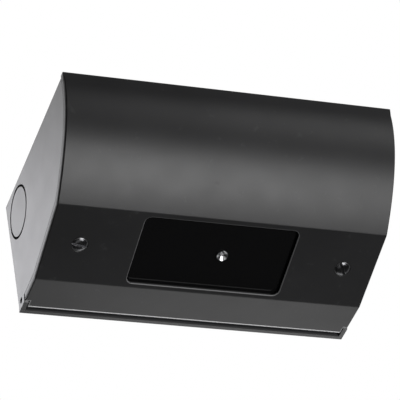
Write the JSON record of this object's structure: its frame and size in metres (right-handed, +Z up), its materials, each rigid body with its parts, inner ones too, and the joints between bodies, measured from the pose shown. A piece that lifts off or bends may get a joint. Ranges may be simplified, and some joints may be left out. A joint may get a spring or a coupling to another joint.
{
  "type": "pedestrian signal unit",
  "caption": "Compact wedge-shaped pedestrian signal for the corner of wall and ceiling, with a curved hinged cover, a dark glass window over red and green lights, and slotted cover screws.",
  "frame": {"origin": "middle of the tray's wall face", "axes": "+Y into the wall, -Y out of the front, +Z up, +X along the wall"},
  "size_m": [0.15, 0.09, 0.059],
  "materials": {
    "tray_coat": "satin",
    "cover_coat": "satin",
    "blackened_steel": "satin",
    "zinc_steel": "satin",
    "nylon": "matte",
    "gasket_foam": "matte",
    "dark_glass": "polished",
    "black_moulding": "matte",
    "red_diffuser": "satin",
    "green_diffuser": "satin",
    "circuit_board": "satin",
    "led_package": "satin",
    "bare_aluminium": "satin",
    "polished_chrome": "polished",
    "clear_acrylic": "gloss",
    "sensor_plastic": "satin",
    "driver_case": "matte",
    "terminal_plastic": "satin",
    "brass": "satin",
    "black_rubber": "matte"
  },
  "bodies": {
    "housing": {"back_tray": "tray_coat", "knockout_disc_left": "tray_coat", "knockout_disc_right": "tray_coat", "hinge_pin_left": "blackened_steel", "hinge_pin_right": "blackened_steel", "screw_bracket_left": "zinc_steel", "screw_bracket_right": "zinc_steel", "clinch_nut_left": "zinc_steel", "clinch_nut_right": "zinc_steel", "driver_screw_left": "zinc_steel", "driver_screw_right": "zinc_steel", "driver_module": "driver_case", "terminal_block": "terminal_plastic", "terminal_screw_1": "zinc_steel", "terminal_screw_2": "zinc_steel", "terminal_screw_3": "zinc_steel", "earth_stud": "brass", "earth_nut": "brass", "cable_grommet": "black_rubber"},
    "cover": {"front_cover": "cover_coat", "window_gasket": "gasket_foam", "window_glass": "dark_glass", "light_box": "black_moulding", "red_diffuser": "red_diffuser", "green_diffuser": "green_diffuser", "led_board": "circuit_board", "red_led_1": "led_package", "red_led_2": "led_package", "red_led_3": "led_package", "green_led_1": "led_package", "green_led_2": "led_package", "green_led_3": "led_package", "heat_sink": "bare_aluminium", "light_box_screw_1": "zinc_steel", "light_box_screw_2": "zinc_steel", "light_box_screw_3": "zinc_steel", "light_box_screw_4": "zinc_steel", "board_screw_left": "zinc_steel", "board_screw_right": "zinc_steel", "sensor_bezel": "polished_chrome", "light_guide": "clear_acrylic", "light_sensor": "sensor_plastic"},
    "screw_left": {"cover_screw_left": "blackened_steel", "retaining_washer_left": "nylon"},
    "screw_right": {"cover_screw_right": "blackened_steel", "retaining_washer_right": "nylon"}
  },
  "joints": [
    {"name": "cover_hinge", "type": "hinge", "parent": "housing", "child": "cover", "pos_m": [0, -0.0045, -0.0262], "axis": [1, 0, 0], "range_deg": [0, 45]},
    {"name": "screw_left_undo", "type": "slide", "parent": "cover", "child": "screw_left", "axis": [0, -0.2542, -0.9672], "range_m": [0, 0.0036]},
    {"name": "screw_right_undo", "type": "slide", "parent": "cover", "child": "screw_right", "axis": [0, -0.2542, -0.9672], "range_m": [0, 0.0036]}
  ]
}
